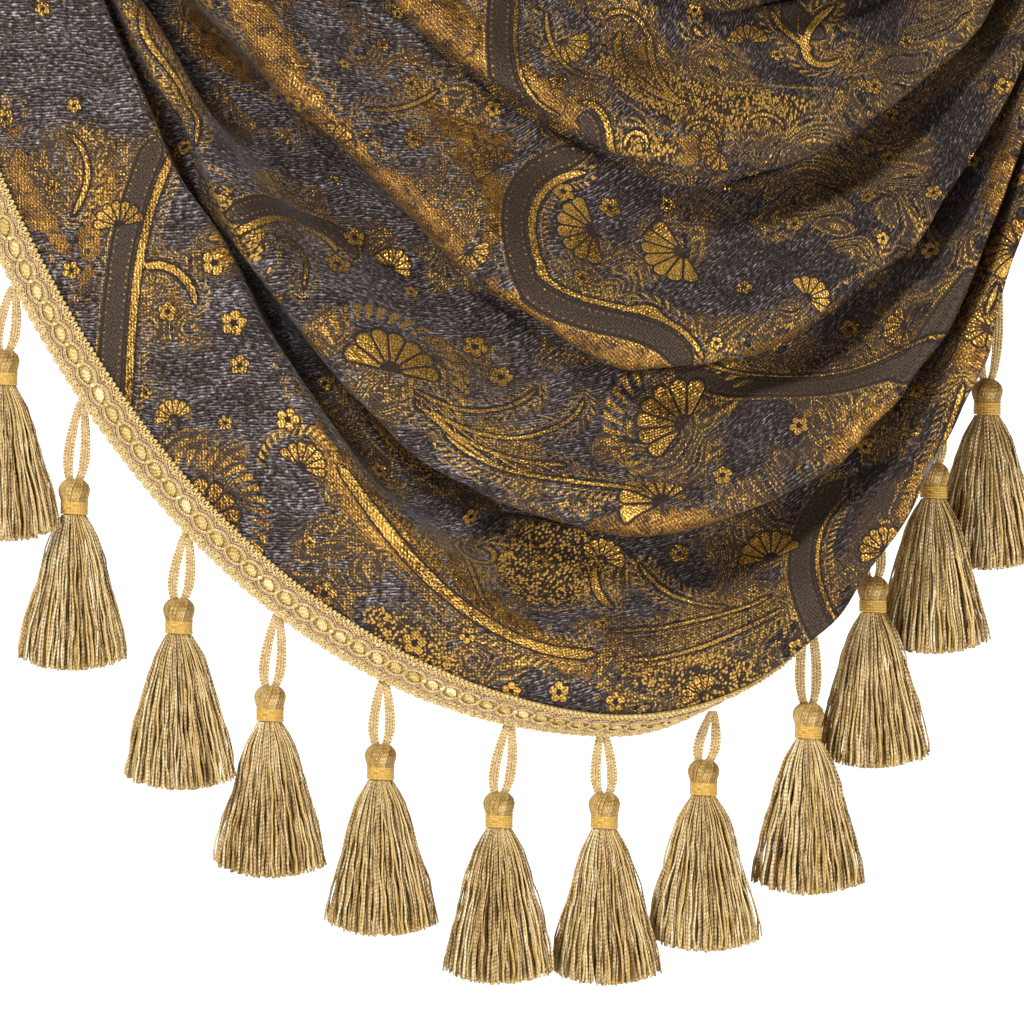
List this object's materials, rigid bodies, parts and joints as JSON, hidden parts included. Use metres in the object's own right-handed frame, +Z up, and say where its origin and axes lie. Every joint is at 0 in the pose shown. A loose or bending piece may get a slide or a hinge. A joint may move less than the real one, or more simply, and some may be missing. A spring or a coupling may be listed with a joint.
{
  "type": "swag drape with tassel fringe",
  "caption": "Draped swag of paisley jacquard cloth in nested folds, gathered at both upper corners, with a gimp braid and tassels along its curved hem.",
  "frame": {"origin": "middle of the straight heading along the swag's top edge", "axes": "+X to the right along the heading, +Z up, and the face of the cloth looks along -Y"},
  "size_m": [0.4317, 0.0507, 0.4888],
  "materials": {
    "jacquard": "chenille and satin jacquard in grey, brown and gold",
    "gimp": "soft sheen rayon gimp",
    "tassel_yarn": "satin yarn"
  },
  "bodies": {
    "root": {"swag_cloth": "jacquard", "gimp_braid": "gimp", "tassel_01": "tassel_yarn", "tassel_02": "tassel_yarn", "tassel_03": "tassel_yarn", "tassel_04": "tassel_yarn", "tassel_05": "tassel_yarn", "tassel_06": "tassel_yarn", "tassel_07": "tassel_yarn", "tassel_08": "tassel_yarn", "tassel_09": "tassel_yarn", "tassel_10": "tassel_yarn", "tassel_11": "tassel_yarn", "tassel_12": "tassel_yarn"}
  },
  "joints": []
}
